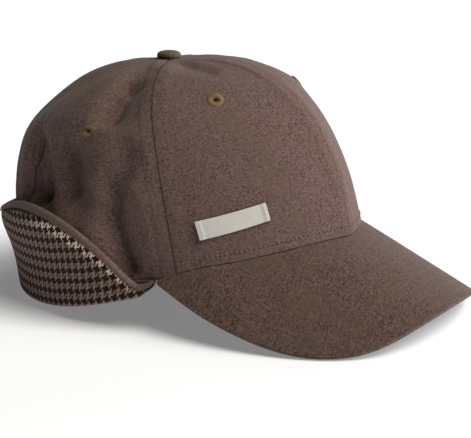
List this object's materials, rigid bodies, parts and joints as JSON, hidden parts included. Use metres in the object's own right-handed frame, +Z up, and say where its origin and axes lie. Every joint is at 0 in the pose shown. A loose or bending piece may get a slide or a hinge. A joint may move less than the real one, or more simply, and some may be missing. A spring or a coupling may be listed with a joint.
{
  "type": "earflap cap",
  "caption": "Soft panelled cap with a curved brim, a covered top button and a houndstooth earflap turned up round the sides and back.",
  "frame": {"origin": "on the ground under the middle of the standing cap's outer box", "axes": "+Z up, -Y the way the brim points, +X towards the wearer's left"},
  "size_m": [0.1866, 0.2638, 0.1268],
  "materials": {
    "crown_cloth": "matte marled brown twill",
    "brim_cloth": "matte marled brown twill over a stiff board",
    "houndstooth": "woolly houndstooth in cream and dark brown",
    "binding_cloth": "matte brown bias strip",
    "eyelet_thread": "ochre thread with a slight sheen",
    "label_weave": "cream woven tape"
  },
  "bodies": {
    "root": {"front_right_panel": "crown_cloth", "front_left_panel": "crown_cloth", "side_right_panel": "crown_cloth", "side_left_panel": "crown_cloth", "back_right_panel": "crown_cloth", "back_left_panel": "crown_cloth", "brim": "brim_cloth", "earflap_shell": "crown_cloth", "earflap_lining": "houndstooth", "earflap_binding": "binding_cloth", "button": "crown_cloth", "eyelet_front_right": "eyelet_thread", "eyelet_front_left": "eyelet_thread", "eyelet_side_right": "eyelet_thread", "eyelet_side_left": "eyelet_thread", "eyelet_back_right": "eyelet_thread", "eyelet_back_left": "eyelet_thread", "label": "label_weave"}
  },
  "joints": []
}
